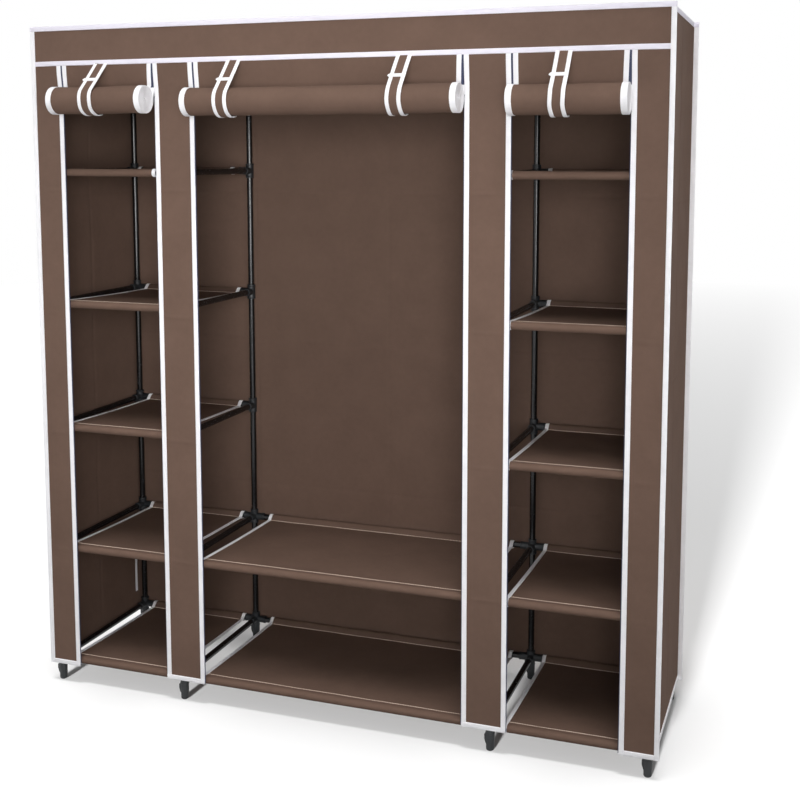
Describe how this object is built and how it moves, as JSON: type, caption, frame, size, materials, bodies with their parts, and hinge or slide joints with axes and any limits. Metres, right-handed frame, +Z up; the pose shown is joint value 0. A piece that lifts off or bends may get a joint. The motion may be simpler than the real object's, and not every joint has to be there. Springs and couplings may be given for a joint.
{
  "type": "portable fabric wardrobe",
  "caption": "Free-standing wardrobe of black tubes under a brown cloth cover with white bound edges, roll-up zipped doors, cloth shelves and a hanging rail.",
  "frame": {"origin": "on the floor under the middle of the wardrobe's own box", "axes": "+Z up, -Y towards the front with its doors, +X to the right as seen from the front"},
  "size_m": [1.64, 0.5422, 1.7528],
  "materials": {
    "brown_fabric": "matte",
    "white_binding": "matte",
    "black_steel": "gloss",
    "black_plastic": "satin",
    "zip_metal": "satin"
  },
  "bodies": {
    "wardrobe": {"left_end_frame": "black_steel", "left_inner_frame": "black_steel", "right_inner_frame": "black_steel", "right_end_frame": "black_steel", "left_end_front_foot": "black_plastic", "left_end_back_foot": "black_plastic", "left_inner_front_foot": "black_plastic", "left_inner_back_foot": "black_plastic", "right_inner_front_foot": "black_plastic", "right_inner_back_foot": "black_plastic", "right_end_front_foot": "black_plastic", "right_end_back_foot": "black_plastic", "left_top_front_rod": "black_steel", "left_top_back_rod": "black_steel", "centre_top_front_rod": "black_steel", "centre_top_back_rod": "black_steel", "right_top_front_rod": "black_steel", "right_top_back_rod": "black_steel", "left_shelf_1": "brown_fabric", "left_shelf_2": "brown_fabric", "left_shelf_3": "brown_fabric", "left_shelf_4": "brown_fabric", "left_shelf_5": "brown_fabric", "centre_shelf_1": "brown_fabric", "centre_shelf_2": "brown_fabric", "right_shelf_1": "brown_fabric", "right_shelf_2": "brown_fabric", "right_shelf_3": "brown_fabric", "right_shelf_4": "brown_fabric", "right_shelf_5": "brown_fabric", "hanging_rail": "black_steel", "cover_left_stile": "brown_fabric", "cover_left_centre_stile": "brown_fabric", "cover_right_centre_stile": "brown_fabric", "cover_right_stile": "brown_fabric", "cover_header": "brown_fabric", "cover_top_panel": "brown_fabric", "cover_back_panel": "brown_fabric", "cover_left_side_panel": "brown_fabric", "cover_right_side_panel": "brown_fabric", "cover_piping": "white_binding", "left_door_curtain": "brown_fabric", "left_door_strap": "brown_fabric", "centre_door_curtain": "brown_fabric", "centre_door_left_strap": "brown_fabric", "centre_door_right_strap": "brown_fabric", "right_door_curtain": "brown_fabric", "right_door_strap": "brown_fabric"},
    "left_door": {"left_door_roll": "brown_fabric", "left_door_binding": "white_binding"},
    "left_door_left_slider": {"left_door_left_slider": "zip_metal"},
    "left_door_right_slider": {"left_door_right_slider": "zip_metal"},
    "centre_door": {"centre_door_roll": "brown_fabric", "centre_door_binding": "white_binding"},
    "centre_door_left_slider": {"centre_door_left_slider": "zip_metal"},
    "centre_door_right_slider": {"centre_door_right_slider": "zip_metal"},
    "right_door": {"right_door_roll": "brown_fabric", "right_door_binding": "white_binding"},
    "right_door_left_slider": {"right_door_left_slider": "zip_metal"},
    "right_door_right_slider": {"right_door_right_slider": "zip_metal"}
  },
  "joints": [
    {"name": "left_door_unroll", "type": "slide", "parent": "wardrobe", "child": "left_door", "axis": [0, 0, -1], "range_m": [0, 1.475], "deforming": ["left_door_curtain", "left_door_strap"]},
    {"name": "left_door_left_zip", "type": "slide", "parent": "wardrobe", "child": "left_door_left_slider", "axis": [0, 0, -1], "range_m": [0, 1.475]},
    {"name": "left_door_right_zip", "type": "slide", "parent": "wardrobe", "child": "left_door_right_slider", "axis": [0, 0, -1], "range_m": [0, 1.475]},
    {"name": "centre_door_unroll", "type": "slide", "parent": "wardrobe", "child": "centre_door", "axis": [0, 0, -1], "range_m": [0, 1.46], "deforming": ["centre_door_curtain", "centre_door_left_strap", "centre_door_right_strap"]},
    {"name": "centre_door_left_zip", "type": "slide", "parent": "wardrobe", "child": "centre_door_left_slider", "axis": [0, 0, -1], "range_m": [0, 1.46]},
    {"name": "centre_door_right_zip", "type": "slide", "parent": "wardrobe", "child": "centre_door_right_slider", "axis": [0, 0, -1], "range_m": [0, 1.46]},
    {"name": "right_door_unroll", "type": "slide", "parent": "wardrobe", "child": "right_door", "axis": [0, 0, -1], "range_m": [0, 1.46], "deforming": ["right_door_curtain", "right_door_strap"]},
    {"name": "right_door_left_zip", "type": "slide", "parent": "wardrobe", "child": "right_door_left_slider", "axis": [0, 0, -1], "range_m": [0, 1.46]},
    {"name": "right_door_right_zip", "type": "slide", "parent": "wardrobe", "child": "right_door_right_slider", "axis": [0, 0, -1], "range_m": [0, 1.46]}
  ],
  "couplings": [
    {"joint": "left_door_left_zip", "follows": "left_door_unroll", "ratio": 1},
    {"joint": "left_door_right_zip", "follows": "left_door_unroll", "ratio": 1},
    {"joint": "centre_door_left_zip", "follows": "centre_door_unroll", "ratio": 1},
    {"joint": "centre_door_right_zip", "follows": "centre_door_unroll", "ratio": 1},
    {"joint": "right_door_left_zip", "follows": "right_door_unroll", "ratio": 1},
    {"joint": "right_door_right_zip", "follows": "right_door_unroll", "ratio": 1}
  ]
}
